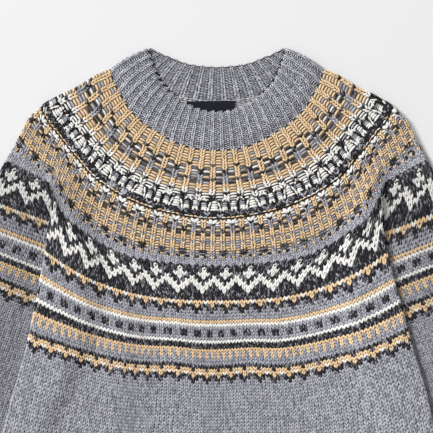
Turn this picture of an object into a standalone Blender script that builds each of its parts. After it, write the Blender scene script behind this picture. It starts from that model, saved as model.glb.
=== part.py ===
# A jacquard sweater laid flat on its back, arms folded down beside the body.
# Sizes are millimetres, measured from the middle of the floor it lies on:
# x runs across (the picture's right is positive), y up to the neck, z up from the floor.

import math
from collections import namedtuple

import bmesh
import bpy
from mathutils import Vector

MM = 0.001

# cloth
CLOTH = 3.0  # one layer of the body's knit
GAP = 0.3  # between layers that lie on each other
SEAM = 0.4  # between pieces that meet edge to edge
ROOM = 0.7  # between front and back, away from the folds
PUFF = 1.8  # what the front stands off the back beyond that, at its fullest
SLEEVE_PUFF = 2.6
LIFT = 2 * CLOTH + 2 * GAP  # the body lies on the two layers of each sleeve
LIFT_RAMP = 32.0  # width over which the body comes down beside a sleeve

# ribs and ladder columns
NECK_RIBS_FRONT = 28
NECK_RIBS_BACK = 16
RIB_RISE = 0.9  # neck ridges above their valleys
BAND_CLOTH = 3.6  # the doubled neckband, ridges left out
YOKE_COLUMNS = 28
COLUMN_RISE = 0.9
RIDGE_RISE = 1.0  # the purl line half way down the yoke
HEM_RIBS = 54
CUFF_RIBS = 12
HEM_RISE = 0.8

# body, below the yoke
BODY_BOTTOM = -248.2
HEM_BOTTOM = -307.4
HEM_HALF_TOP = 274.2
HEM_HALF_BOTTOM = 264.0

# label
LABEL_WIDTH = 58.0
LABEL_HEIGHT = 21.0
LABEL_THICK = 0.8
LABEL_TOP = 243.0
LABEL_MIDDLE = -7.5

# The yoke, half of it, from the shoulder fold to the middle of the front.
# seam: neckband seam; ridge: purl line; edge: where the plain knit begins.
YokeStation = namedtuple("YokeStation", "seam_x seam_y ridge_x ridge_y edge_x edge_y")
YOKE = [
    YokeStation(128.6, 282.2, 210.0, 239.6, 253.8, 173.0),
    YokeStation(126.0, 270.6, 202.8, 221.0, 232.8, 162.2),
    YokeStation(120.5, 258.0, 190.8, 205.4, 214.8, 152.9),
    YokeStation(117.0, 251.6, 184.8, 197.6, 202.2, 146.2),
    YokeStation(113.5, 245.3, 178.8, 189.8, 198.5, 139.0),
    YokeStation(106.0, 233.5, 165.6, 174.2, 192.0, 125.0),
    YokeStation(94.1, 221.0, 150.0, 156.2, 181.2, 105.0),
    YokeStation(83.0, 211.7, 130.8, 141.2, 159.6, 88.0),
    YokeStation(72.0, 205.6, 111.6, 129.8, 136.8, 72.2),
    YokeStation(60.6, 198.2, 90.0, 120.2, 109.2, 59.0),
    YokeStation(48.0, 192.0, 68.4, 113.0, 82.8, 53.0),
    YokeStation(31.8, 186.2, 44.4, 107.6, 54.0, 49.4),
    YokeStation(16.2, 183.8, 21.6, 104.0, 26.4, 47.0),
    YokeStation(0.0, 183.1, 0.0, 102.8, 0.0, 45.8),
]
CREASE_X = 197.0  # the front's side fold starts here on the yoke's edge

# The yoke's outline on the shoulder; level 0 is the seam, 1 the purl line, 2 the edge.
Shoulder = namedtuple("Shoulder", "level x y")
SHOULDER = [
    Shoulder(0.0, 128.6, 282.2),
    Shoulder(0.2, 145.2, 273.4),
    Shoulder(0.5, 170.4, 257.5),
    Shoulder(0.75, 192.7, 249.2),
    Shoulder(1.0, 210.0, 239.6),
    Shoulder(1.33, 228.0, 222.2),
    Shoulder(1.66, 236.4, 205.4),
    Shoulder(1.85, 245.4, 187.4),
    Shoulder(2.0, 253.8, 173.0),
]

# The neck, half of each edge, from the shoulder tip to the middle.
NeckPoint = namedtuple("NeckPoint", "x y")
FRONT_LIP = [
    NeckPoint(83.6, 307.1),
    NeckPoint(81.6, 297.8),
    NeckPoint(79.2, 289.4),
    NeckPoint(74.4, 277.4),
    NeckPoint(68.4, 265.4),
    NeckPoint(61.8, 258.2),
    NeckPoint(55.2, 251.6),
    NeckPoint(48.6, 246.2),
    NeckPoint(37.2, 239.5),
    NeckPoint(24.0, 233.0),
    NeckPoint(12.0, 229.9),
    NeckPoint(0.0, 229.2),
]
BACK_LIP = [
    NeckPoint(83.6, 307.1),
    NeckPoint(75.0, 303.1),
    NeckPoint(64.8, 297.8),
    NeckPoint(56.4, 295.0),
    NeckPoint(47.0, 290.9),
    NeckPoint(37.2, 287.5),
    NeckPoint(24.0, 285.1),
    NeckPoint(12.0, 283.9),
    NeckPoint(0.0, 283.4),
]
BACK_SEAM = [
    NeckPoint(128.6, 282.2),
    NeckPoint(108.0, 273.8),
    NeckPoint(84.0, 263.0),
    NeckPoint(60.0, 252.2),
    NeckPoint(37.2, 247.0),
    NeckPoint(18.0, 244.3),
    NeckPoint(0.0, 243.6),
]

# Across the neckband: where it is (0 at its seam, 1 at its lip), its thickness without
# ridges, and how much of the ridges' height it has there.
BandLevel = namedtuple("BandLevel", "level thick ridge")
BAND = [
    BandLevel(0.025, 2.8, 0.0),
    BandLevel(0.1, 3.2, 0.6),
    BandLevel(0.3, BAND_CLOTH, 1.0),
    BandLevel(0.92, BAND_CLOTH, 1.0),
]
BAND_LIP = BandLevel(1.0, BAND_CLOTH * 0.78, 1.0)

# Rows of the body's knit: height at the side folds and in the middle, and where each
# side fold is. The left and right folds differ, as laid.
BodyRow = namedtuple("BodyRow", "fold_y middle_y left right")
BODY = [
    BodyRow(97.4, 24.2, 201.4, 198.0),
    BodyRow(65.6, 0.8, 206.2, 204.0),
    BodyRow(37.4, -26.2, 211.0, 210.0),
    BodyRow(8.6, -46.6, 216.0, 218.5),
    BodyRow(-55.0, -98.8, 229.8, 235.8),
    BodyRow(-104.2, -137.8, 244.0, 251.0),
    BodyRow(-155.8, -178.6, 257.4, 262.0),
    BodyRow(-212.2, -220.6, 271.2, 272.0),
    BodyRow(BODY_BOTTOM, BODY_BOTTOM, HEM_HALF_TOP, HEM_HALF_TOP),
]
ROW_BEND = 2.7  # how quickly a row levels out away from the fold

# A sleeve's sections: its outer fold, and its inner fold under the body.
SleeveRow = namedtuple("SleeveRow", "outer_x outer_y inner_x inner_y")
SLEEVE = [
    SleeveRow(254.2, 172.2, 202.9, 145.2),
    SleeveRow(268.8, 145.4, 196.5, 121.0),
    SleeveRow(280.8, 117.8, 182.4, 80.6),
    SleeveRow(296.4, 80.6, 166.8, 29.0),
    SleeveRow(314.4, 37.4, 178.8, -17.8),
    SleeveRow(332.4, -10.6, 198.0, -64.6),
    SleeveRow(350.4, -61.0, 219.6, -111.4),
    SleeveRow(367.2, -111.4, 242.4, -157.0),
    SleeveRow(382.8, -161.8, 265.2, -201.4),
    SleeveRow(396.0, -205.0, 285.6, -239.8),
]
CUFF = [
    SleeveRow(396.1, -205.4, 285.7, -240.2),
    SleeveRow(396.0, -212.0, 290.6, -245.4),
    SleeveRow(402.0, -240.0, 302.0, -271.5),
    SleeveRow(408.2, -271.0, 314.4, -300.6),
    SleeveRow(408.8, -273.9, 315.4, -303.4),
]

COLOURS = {
    "neckband": (0.30, 0.30, 0.33),
    "yoke": (0.52, 0.42, 0.28),
    "front": (0.36, 0.36, 0.38),
    "back": (0.34, 0.34, 0.36),
    "sleeve_left": (0.38, 0.38, 0.40),
    "sleeve_right": (0.38, 0.38, 0.40),
    "hem_rib": (0.30, 0.30, 0.33),
    "cuff_left": (0.30, 0.30, 0.33),
    "cuff_right": (0.30, 0.30, 0.33),
    "neck_label": (0.01, 0.013, 0.02),
}
ROUGHNESS = 0.9

# One place on a wall: its plan point, its turn (90 on the front, -90 on the back, between
# them round a fold) and the way out of the fold.
Place = namedtuple("Place", "x y turn out_x out_y")


def smooth(value):
    value = min(max(value, 0.0), 1.0)
    return value * value * (3.0 - 2.0 * value)


def between(a, b, t):
    return a + (b - a) * t


# Straight-line reading of a short table, whichever way its key runs.
def read_table(rows, key, value, column):
    rows = sorted(rows, key=lambda row: getattr(row, key))
    first, last = rows[0], rows[-1]
    if value <= getattr(first, key):
        return getattr(first, column)
    for low, high in zip(rows, rows[1:]):
        low_key, high_key = getattr(low, key), getattr(high, key)
        if value <= high_key:
            t = (value - low_key) / (high_key - low_key)
            return between(getattr(low, column), getattr(high, column), t)
    return getattr(last, column)


# A curve through the points, as closely spaced plan points.
def smooth_line(points, steps=6):
    points = [Vector((p[0], p[1])) for p in points]
    line = []
    for i in range(len(points) - 1):
        before = points[i - 1] if i else points[0] * 2 - points[1]
        start, end = points[i], points[i + 1]
        after = points[i + 2] if i + 2 < len(points) else end * 2 - start
        for step in range(steps):
            t = step / steps
            line.append(0.5 * (2 * start + (end - before) * t
                               + (2 * before - 5 * start + 4 * end - after) * t ** 2
                               + (3 * start - before - 3 * end + after) * t ** 3))
    line.append(points[-1])
    return line


# Left fold to right fold, from the right half (fold to middle).
def whole_line(half):
    right = [(p[0], p[1]) for p in half]
    left = [(-x, y) for x, y in right]
    return smooth_line(left + right[-2::-1])


# count + 1 points at even spacing, from inset within one end to inset within the other.
def spread(line, count, inset):
    lengths = [0.0]
    for a, b in zip(line, line[1:]):
        lengths.append(lengths[-1] + (b - a).length)
    points = []
    segment = 0
    for i in range(count + 1):
        target = between(inset, lengths[-1] - inset, i / count)
        while segment < len(line) - 2 and lengths[segment + 1] < target:
            segment += 1
        span = lengths[segment + 1] - lengths[segment]
        points.append(line[segment].lerp(line[segment + 1], (target - lengths[segment]) / span))
    return points


def fold_places(corner, front_end, back_end, turns):
    middle = (front_end + back_end) / 2
    out = (corner - middle).normalized()
    return [Place(middle.x, middle.y, turn, out.x, out.y) for turn in turns]


# Places round a flattened tube: front left to right, right fold, back, left fold.
def ring_places(front_line, back_line, front_count, back_count, inset):
    front = spread(front_line, front_count, inset)
    back = spread(back_line, back_count, inset)
    places = [Place(p.x, p.y, 90, 0, 0) for p in front]
    places += fold_places(front_line[-1], front[-1], back[-1], (45, 0, -45))
    places += [Place(p.x, p.y, -90, 0, 0) for p in reversed(back)]
    places += fold_places(front_line[0], front[0], back[0], (-45, 0, 45))
    return places


# The least distance from the middle that a sleeve reaches near this height.
def sleeve_inner_edge(y):
    nearby = (y - 28.0, y - 14.0, y, y + 14.0, y + 28.0)
    return min(read_table(SLEEVE, "inner_y", value, "inner_x") for value in nearby)


# How high the body lies over a sleeve's inner part.
def lift(x, y, on_yoke=False):
    side = abs(x)
    edge = sleeve_inner_edge(y) - 6.0
    height = LIFT * smooth((side - edge + LIFT_RAMP) / LIFT_RAMP)
    height *= smooth((y + 246.0) / 36.0)
    if on_yoke:
        height *= smooth((208.0 - side) / 14.0) * smooth((170.0 - y) / 34.0)
    return height


def fold_x(x, y):
    column = "left" if x < 0 else "right"
    if y > BODY[0].fold_y:
        return between(getattr(BODY[0], column), 240.0, (y - BODY[0].fold_y) / 100.0)
    return read_table(BODY, "fold_y", y, column)


# How far the front of the yoke and body stands off the back.
def puff(x, y):
    inward = fold_x(x, y) - abs(x) - 3.0
    along = smooth((186.0 - y) / 70.0) * smooth((y + 250.0) / 60.0)
    return (PUFF * smooth(inward / 80.0) + ROOM * smooth(inward / 14.0)) * along


# The outer and inner points of the wall; low is the floor under it, rise the puff.
def wall_points(place, low, rise, thick, ridge_up=0.0):
    x, y = place.x, place.y
    if place.turn == 90:
        under = low + thick + GAP + rise
        return (x, y, under + thick + ridge_up), (x, y, under)
    if place.turn == -90:
        return (x, y, low), (x, y, low + thick + ridge_up)
    turn = math.radians(place.turn)
    across, up = math.cos(turn), math.sin(turn)
    middle = low + thick + GAP / 2
    outer, inner = thick + GAP / 2, GAP / 2
    return (
        (x + place.out_x * across * outer, y + place.out_y * across * outer, middle + up * outer),
        (x + place.out_x * across * inner, y + place.out_y * across * inner, middle + up * inner),
    )


def add_object(name, bm):
    bmesh.ops.recalc_face_normals(bm, faces=bm.faces)
    bmesh.ops.scale(bm, vec=(MM, MM, MM), verts=bm.verts)
    mesh = bpy.data.meshes.new(name)
    bm.to_mesh(mesh)
    bm.free()
    finish_object(bpy.data.objects.new(name, mesh))


def finish_object(part):
    material = bpy.data.materials.new(part.name)
    material.use_nodes = True
    shader = material.node_tree.nodes["Principled BSDF"]
    shader.inputs["Base Color"].default_value = COLOURS[part.name] + (1.0,)
    shader.inputs["Roughness"].default_value = ROUGHNESS
    shader.inputs["Metallic"].default_value = 0.0
    part.data.materials.append(material)
    sweater.objects.link(part)


# Two triangles, split from a to c or from b to d, so layers that lie together match.
def add_quad(bm, a, b, c, d, cross_at_b=False):
    if cross_at_b:
        bm.faces.new((a, b, d))
        bm.faces.new((b, c, d))
    else:
        bm.faces.new((a, b, c))
        bm.faces.new((a, c, d))


# A closed wall: every loop goes round the tube, and the last one meets the first.
def loft_ring(name, loops, front_count):
    bm = bmesh.new()
    rows = [[bm.verts.new(point) for point in loop] for loop in loops]
    count = len(rows[0])
    for row, following in zip(rows, rows[1:] + rows[:1]):
        for i in range(count):
            j = (i + 1) % count
            add_quad(bm, row[i], row[j], following[j], following[i], i > front_count + 1)
    add_object(name, bm)


# A sheet of cloth between matching outer and inner rows, closed on all four edges.
def loft_sheet(name, outer_rows, inner_rows):
    bm = bmesh.new()
    outer = [[bm.verts.new(point) for point in row] for row in outer_rows]
    inner = [[bm.verts.new(point) for point in row] for row in inner_rows]
    last_row, last = len(outer) - 1, len(outer[0]) - 1
    for j in range(last_row):
        for i in range(last):
            add_quad(bm, outer[j][i], outer[j][i + 1], outer[j + 1][i + 1], outer[j + 1][i])
            add_quad(bm, inner[j][i], inner[j + 1][i], inner[j + 1][i + 1], inner[j][i + 1])
        for i in (0, last):
            add_quad(bm, outer[j][i], outer[j + 1][i], inner[j + 1][i], inner[j][i])
    for i in range(last):
        for j in (0, last_row):
            add_quad(bm, outer[j][i], inner[j][i], inner[j][i + 1], outer[j][i + 1])
    add_object(name, bm)


# The yoke's row at this level, left fold to right fold.
def yoke_line(level):
    half = []
    for station in YOKE:
        if level <= 1.0:
            x = between(station.seam_x, station.ridge_x, level)
            y = between(station.seam_y, station.ridge_y, level)
        else:
            x = between(station.ridge_x, station.edge_x, level - 1.0)
            y = between(station.ridge_y, station.edge_y, level - 1.0)
        half.append([x, y])
    move_x = read_table(SHOULDER, "level", level, "x") - half[0][0]
    move_y = read_table(SHOULDER, "level", level, "y") - half[0][1]
    for i, share in enumerate((1.0, 0.5, 0.2)):
        half[i][0] += move_x * share
        half[i][1] += move_y * share
    return whole_line(half)


# The back rows start from the higher back seam and meet the front's at the edge.
def back_yoke_line(level):
    front = yoke_line(level)
    steps = len(front) - 1
    seam = spread(whole_line(BACK_SEAM), steps, 0.0)
    front_seam = spread(yoke_line(0.0), steps, 0.0)
    share = max(0.0, 1.0 - level / 2.0)
    even = spread(front, steps, 0.0)
    return [p + (s - f) * share for p, s, f in zip(even, seam, front_seam)]


def yoke_places(level):
    inset = CLOTH + GAP / 2
    return ring_places(yoke_line(level), back_yoke_line(level),
                       YOKE_COLUMNS * 2, YOKE_COLUMNS * 2, inset)


# Raised knit columns between the seam and the purl line, plain cloth below it.
def make_yoke():
    Level = namedtuple("Level", "level column ridge")
    outer_levels = [
        Level(0.0, 0.0, 0.0),
        Level(0.1, 0.8, 0.0),
        Level(0.5, 1.0, 0.0),
        Level(0.88, 1.0, 0.0),
        Level(0.96, 0.0, 0.0),
        Level(1.0, 0.0, 1.0),
        Level(1.04, 0.0, 0.0),
        Level(1.35, 0.0, 0.0),
        Level(1.7, 0.0, 0.0),
        Level(2.0, 0.0, 0.0),
    ]
    inner_levels = (2.0, 1.7, 1.35, 1.0, 0.5, 0.0)
    loops = []
    for row in outer_levels:
        loop = []
        for i, place in enumerate(yoke_places(row.level)):
            on_column = place.turn == 90 and i % 2 == 1
            rise = puff(place.x, place.y) if place.turn == 90 else 0.0
            ridge = RIDGE_RISE * row.ridge if place.turn == 90 else 0.0
            if on_column:
                ridge += COLUMN_RISE * row.column
            low = lift(place.x, place.y, on_yoke=True)
            loop.append(wall_points(place, low, rise, CLOTH, ridge if place.turn == 90 else 0.0)[0])
        loops.append(loop)
    for level in inner_levels:
        loop = []
        for place in yoke_places(level):
            rise = puff(place.x, place.y) if place.turn == 90 else 0.0
            low = lift(place.x, place.y, on_yoke=True)
            loop.append(wall_points(place, low, rise, CLOTH)[1])
        loops.append(loop)
    loft_ring("yoke", loops, YOKE_COLUMNS * 2)


# The neckband between its seam (0, on the yoke's) and its lip (1).
def neck_places(row):
    count = 60
    inset = row.thick + RIB_RISE * row.ridge + GAP / 2
    front_seam = spread(yoke_line(0.0), count, 0.0)
    back_seam = spread(whole_line(BACK_SEAM), count, 0.0)
    front_lip = spread(whole_line(FRONT_LIP), count, 0.0)
    back_lip = spread(whole_line(BACK_LIP), count, 0.0)
    front = [a.lerp(b, row.level) for a, b in zip(front_seam, front_lip)]
    back = [a.lerp(b, row.level) for a, b in zip(back_seam, back_lip)]
    return ring_places(front, back, NECK_RIBS_FRONT * 3, NECK_RIBS_BACK * 3, inset)


# Outer and inner loop of the neckband at one level. The ridges are on the faces that
# look up: outside on the front half, inside on the back half.
def band_loops(row, lip=False):
    places = neck_places(row)
    back_start = NECK_RIBS_FRONT * 3 + 4
    room = row.thick + RIB_RISE * smooth(row.level / 0.3) + GAP
    if lip:
        room = BAND_CLOTH + RIB_RISE + GAP
    outer_loop, inner_loop = [], []
    for i, place in enumerate(places):
        first = 0 if place.turn == 90 else back_start
        on_ridge = (i - first) % 3 == 1
        ridge = RIB_RISE * row.ridge if on_ridge else 0.0
        x, y = place.x, place.y
        if place.turn == 90:
            bottom = room + (0.8 if lip else 0.0)
            outer_loop.append((x, y, bottom + row.thick + ridge * (0.6 if lip else 1.0)))
            inner_loop.append((x, y, bottom))
        elif place.turn == -90:
            bottom = 0.8 if lip else 0.0
            outer_loop.append((x, y, bottom))
            inner_loop.append((x, y, row.thick + ridge))
        else:
            outer, inner = wall_points(place, 0.0, 0.0, row.thick + RIB_RISE * row.ridge)
            outer_loop.append(outer)
            inner_loop.append(inner)
    return outer_loop, inner_loop


def make_neckband():
    levels = [band_loops(row) for row in BAND] + [band_loops(BAND_LIP, lip=True)]
    loops = [outer for outer, inner in levels]
    loops += [inner for outer, inner in reversed(levels)]
    loft_ring("neckband", loops, NECK_RIBS_FRONT * 3)


# One row of the body, left fold to right fold, in plan.
def row_line(row):
    points = []
    for i in range(41):
        across = i / 20.0 - 1.0
        half = row.left if across < 0 else row.right
        sag = 1.0 - abs(across) ** ROW_BEND
        points.append(Vector((across * half, between(row.fold_y, row.middle_y, sag))))
    return points


# The body's top row runs a seam's width outside the yoke's edge.
def top_row_line(places):
    points = [Vector((place.x, place.y)) for place in places]
    moved = []
    for i, point in enumerate(points):
        along = points[min(i + 1, len(points) - 1)] - points[max(i - 1, 0)]
        along.normalize()
        moved.append(point + Vector((along.y, -along.x)) * SEAM)
    return [p for p in moved if abs(p.x) <= CREASE_X]


# Outer and inner points of one row of a panel, curling round both side folds.
def sheet_row(flat, corner_left, corner_right, side, low, rise):
    turn = 90 if side == "front" else -90
    shift = GAP / 2 if side == "front" else -GAP / 2
    signs = (0, 45) if side == "front" else (0, -45)
    left = fold_places(corner_left, flat[0], flat[0], signs)
    right = fold_places(corner_right, flat[-1], flat[-1], signs[::-1])
    places = left + [Place(p.x, p.y, turn, 0, 0) for p in flat] + right
    outer_row, inner_row = [], []
    for place in places:
        up = rise(place.x, place.y) if place.turn == 90 else 0.0
        under = low(place.x, place.y)
        outer, inner = wall_points(place, under, up, CLOTH)
        if place.turn == 0:
            outer = (outer[0], outer[1], outer[2] + shift)
        if place.turn not in (90, -90):
            inner = (inner[0], inner[1], under + CLOTH + GAP / 2 + shift)
        outer_row.append(outer)
        inner_row.append(inner)
    return outer_row, inner_row


def make_panel(side):
    inset = CLOTH + GAP / 2
    places = [p for p in yoke_places(2.0) if p.turn == (90 if side == "front" else -90)]
    if side == "back":
        places = places[::-1]
    top = top_row_line(places)
    out_left = (top[0] - top[1]).normalized() * inset
    out_right = (top[-1] - top[-2]).normalized() * inset
    outer_row, inner_row = sheet_row(top, top[0] + out_left, top[-1] + out_right, side, lift, puff)
    outer_rows, inner_rows = [outer_row], [inner_row]
    for row in BODY:
        line = row_line(row)
        flat = spread(line, len(top) - 1, inset)
        outer_row, inner_row = sheet_row(flat, line[0], line[-1], side, lift, puff)
        outer_rows.append(outer_row)
        inner_rows.append(inner_row)
    loft_sheet(side, outer_rows, inner_rows)


# The sleeve is fuller between its outer fold and the body's side fold.
def sleeve_rise(place, row, sign):
    past_fold = abs(place.x) - abs(fold_x(place.x, place.y)) - 5.0
    outer = Vector((row.outer_x * sign, row.outer_y))
    from_edge = (Vector((place.x, place.y)) - outer).length
    grow = smooth((SLEEVE[0].outer_y - row.outer_y) / 60.0)
    return SLEEVE_PUFF * smooth(past_fold / 35.0) * smooth((from_edge - 3.0) / 35.0) * grow


# Loops of a sleeve or cuff; ridge_share gives the ribs' height for each row.
def sleeve_loops(rows, sign, front_count, back_count, ridge_share):
    inset = CLOTH + GAP / 2
    outer_loops, inner_loops = [], []
    for row, ridge in zip(rows, ridge_share):
        ends = [Vector((row.outer_x * sign, row.outer_y)), Vector((row.inner_x * sign, row.inner_y))]
        places = ring_places(ends, ends, front_count, back_count, inset)
        outer_loop, inner_loop = [], []
        for i, place in enumerate(places):
            flat = place.turn == 90
            rise = sleeve_rise(place, row, sign) if flat else 0.0
            up = HEM_RISE * ridge if flat and i % 2 == 1 else 0.0
            outer, inner = wall_points(place, 0.0, rise, CLOTH, up)
            outer_loop.append(outer)
            inner_loop.append(inner)
        outer_loops.append(outer_loop)
        inner_loops.append(inner_loop)
    return outer_loops + inner_loops[::-1]


def make_sleeve(name, sign):
    loft_ring(name, sleeve_loops(SLEEVE, sign, 9, 9, [0.0] * len(SLEEVE)), 9)


def make_cuff(name, sign):
    ridges = [0.0, 1.0, 1.0, 1.0, 0.3]
    loft_ring(name, sleeve_loops(CUFF, sign, CUFF_RIBS * 2, 10, ridges), CUFF_RIBS * 2)


# The hem rib, drawn in a little at its lower edge.
def make_hem():
    Level = namedtuple("Level", "share ridge")
    levels = [Level(0.0, 0.0), Level(0.1, 1.0), Level(0.92, 1.0), Level(1.0, 0.3)]
    inset = CLOTH + GAP / 2
    outer_loops, inner_loops = [], []
    for row in levels:
        y = between(BODY_BOTTOM - SEAM, HEM_BOTTOM, row.share)
        half = between(HEM_HALF_TOP, HEM_HALF_BOTTOM, row.share)
        ends = [Vector((-half, y)), Vector((half, y))]
        outer_loop, inner_loop = [], []
        for i, place in enumerate(ring_places(ends, ends, HEM_RIBS * 2, 24, inset)):
            up = HEM_RISE * row.ridge if place.turn == 90 and i % 2 == 1 else 0.0
            outer, inner = wall_points(place, 0.0, 0.0, CLOTH, up)
            outer_loop.append(outer)
            inner_loop.append(inner)
        outer_loops.append(outer_loop)
        inner_loops.append(inner_loop)
    loft_ring("hem_rib", outer_loops + inner_loops[::-1], HEM_RIBS * 2)


# Sewn at its top edge inside the back of the neck; bare.
def make_label():
    bpy.ops.mesh.primitive_cube_add(size=1.0)
    label = bpy.context.active_object
    label.name = "neck_label"
    label.data.name = "neck_label"
    label.scale = (LABEL_WIDTH * MM, LABEL_HEIGHT * MM, LABEL_THICK * MM)
    middle_y = LABEL_TOP - LABEL_HEIGHT / 2
    middle_z = CLOTH + GAP + LABEL_THICK / 2
    label.location = (LABEL_MIDDLE * MM, middle_y * MM, middle_z * MM)
    for collection in list(label.users_collection):
        collection.objects.unlink(label)
    finish_object(label)


for old in list(bpy.data.objects):
    bpy.data.objects.remove(old, do_unlink=True)
sweater = bpy.data.collections.new("jacquard_sweater")
bpy.context.scene.collection.children.link(sweater)

make_neckband()
make_yoke()
make_panel("front")
make_panel("back")
make_sleeve("sleeve_left", -1)
make_sleeve("sleeve_right", 1)
make_hem()
make_cuff("cuff_left", -1)
make_cuff("cuff_right", 1)
make_label()
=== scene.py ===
import math

import bpy
import numpy as np
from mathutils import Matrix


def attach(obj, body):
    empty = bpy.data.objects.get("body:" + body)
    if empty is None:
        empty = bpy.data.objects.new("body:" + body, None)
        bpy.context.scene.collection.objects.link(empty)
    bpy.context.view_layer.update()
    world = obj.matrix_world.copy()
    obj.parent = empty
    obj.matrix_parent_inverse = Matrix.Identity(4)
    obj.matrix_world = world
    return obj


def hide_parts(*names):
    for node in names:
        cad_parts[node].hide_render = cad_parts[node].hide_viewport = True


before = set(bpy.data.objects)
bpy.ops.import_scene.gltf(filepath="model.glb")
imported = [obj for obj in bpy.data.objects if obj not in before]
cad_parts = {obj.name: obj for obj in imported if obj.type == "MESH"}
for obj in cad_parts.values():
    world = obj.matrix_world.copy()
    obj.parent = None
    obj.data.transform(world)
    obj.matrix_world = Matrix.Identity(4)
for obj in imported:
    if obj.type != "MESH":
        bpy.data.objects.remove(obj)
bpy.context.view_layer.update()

mm = 0.001
linePoints = 240    # along each line of the plan, from fold to fold

# The sweater lies flat, front up. On the plan x is across, y up to the neck, in mm.
cloth = {
    "fold": 3.15,        # radius round a side fold
    "room": 0.7,         # between front and back, away from the folds
    "puff": 1.8,         # what the front stands further off the back at its fullest
    "sleevePuff": 2.6,
    "lift": 6.6,         # the body lies on its sleeves' inner parts
    "seat": 0.9,         # how deep the stitches sit in the cloth below them
    "wall": 1.9,         # the cloth behind the stitches
    "points": 130,       # across a panel's cloth, from fold to fold
}

# Where the cloth rises or settles: the place, and the length of the slope from there, in mm.
ramps = {
    "overSleeve": (-38.0, 32.0),       # from the sleeve's inner fold
    "liftAboveHem": (-246.0, 36.0),
    "liftWithinShoulder": (208.0, -14.0),
    "liftBelowShoulder": (170.0, -34.0),
    "puffBelowYoke": (186.0, -70.0),
    "puffAboveHem": (-250.0, 60.0),
    "puffFromFold": (3.0, 80.0),       # from the side fold, inward
    "roomFromFold": (3.0, 14.0),
    "sleevePastFold": (5.0, 35.0),     # from the body's fold, outward
    "sleeveFromEdge": (3.0, 35.0),     # from the sleeve's outer fold, inward
    "sleeveBelowTop": (176.0, -60.0),
    "bandEnd": (-22.0, 22.0),          # from the neckband's end
}


def ease(value):
    value = np.clip(value, 0.0, 1.0)
    return value * value * (3.0 - 2.0 * value)


def ramp(name, value):
    start, length = ramps[name]
    return ease((value - start) / length)


def readTable(table, key, column=1):
    rows = np.array(table, float)
    rows = rows[np.argsort(rows[:, 0])]
    return np.interp(key, rows[:, 0], rows[:, column])


# A curve through the points, and points evenly along a line.
def curveThrough(points, steps=8):
    points = np.array(points, float)
    padded = np.vstack([2 * points[:1] - points[1:2], points, 2 * points[-1:] - points[-2:-1]])
    line = []
    for i in range(len(points) - 1):
        a, b, c, d = padded[i:i + 4]
        for t in np.arange(steps) / steps:
            line.append(0.5 * (2 * b + (c - a) * t + (2 * a - 5 * b + 4 * c - d) * t ** 2
                               + (3 * b - a - 3 * c + d) * t ** 3))
    line.append(points[-1])
    return np.array(line)


def lineLengths(line):
    return np.concatenate([[0.0], np.cumsum(np.linalg.norm(np.diff(line, axis=0), axis=1))])


def evenly(line, count, inset=0.0):
    lengths = lineLengths(line)
    at = np.linspace(inset, lengths[-1] - inset, count)
    return np.stack([np.interp(at, lengths, line[:, k]) for k in range(2)], 1)


def bothHalves(half):
    half = np.array(half, float)
    return curveThrough(np.vstack([half * (-1, 1), half[-2::-1]]))


# The yoke, half of each line, from the shoulder fold to the middle of the front. Its levels
# run from 0 at the neckband over 1 at the purl line to 2 at its edge.
yoke = {
    "seam": [(128.6, 282.2), (126.0, 270.6), (120.5, 258.0), (117.0, 251.6), (113.5, 245.3),
             (106.0, 233.5), (94.1, 221.0), (83.0, 211.7), (72.0, 205.6), (60.6, 198.2),
             (48.0, 192.0), (31.8, 186.2), (16.2, 183.8), (0.0, 183.1)],
    "ridge": [(210.0, 239.6), (202.8, 221.0), (190.8, 205.4), (184.8, 197.6), (178.8, 189.8),
              (165.6, 174.2), (150.0, 156.2), (130.8, 141.2), (111.6, 129.8), (90.0, 120.2),
              (68.4, 113.0), (44.4, 107.6), (21.6, 104.0), (0.0, 102.8)],
    "edge": [(253.8, 173.0), (232.8, 162.2), (214.8, 152.9), (202.2, 146.2), (198.5, 139.0),
             (192.0, 125.0), (181.2, 105.0), (159.6, 88.0), (136.8, 72.2), (109.2, 59.0),
             (82.8, 53.0), (54.0, 49.4), (26.4, 47.0), (0.0, 45.8)],
    "backSeam": [(128.6, 282.2), (108.0, 273.8), (84.0, 263.0), (60.0, 252.2), (37.2, 247.0),
                 (18.0, 244.3), (0.0, 243.6)],
    # the outline over the shoulder: level, x, y
    "shoulder": [(0.0, 128.6, 282.2), (0.2, 146.0, 275.4), (0.5, 171.2, 259.7),
                 (0.75, 193.3, 250.4), (1.0, 210.0, 239.6), (1.33, 228.0, 222.2),
                 (1.66, 236.4, 205.4), (1.85, 245.4, 187.4), (2.0, 253.8, 173.0)],
    "follow": (1.0, 0.5, 0.2),    # how much of its move a line's first points take up
    "creaseX": 197.0,             # where the front's side fold starts on the yoke's edge
    "darkLevels": (0.62, 1.02),   # where its cloth is darker
}


def yokeLine(level):
    seam, ridge, edge = (np.array(yoke[name]) for name in ("seam", "ridge", "edge"))
    if level <= 1.0:
        half = seam + (ridge - seam) * level
    else:
        half = ridge + (edge - ridge) * (level - 1.0)
    move = [readTable(yoke["shoulder"], level, k) for k in (1, 2)] - half[0]
    for i, share in enumerate(yoke["follow"]):
        half[i] += move * share
    return bothHalves(half)


def backYokeLine(level):
    even = evenly(yokeLine(level), linePoints)
    share = max(0.0, 1.0 - level / 2.0)
    seamShift = evenly(bothHalves(yoke["backSeam"]), linePoints) - evenly(yokeLine(0.0), linePoints)
    return even + seamShift * share


# Knit rows are counted downwards from the first gold row, and the zigzag above it starts here.
firstRow = -11

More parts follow.
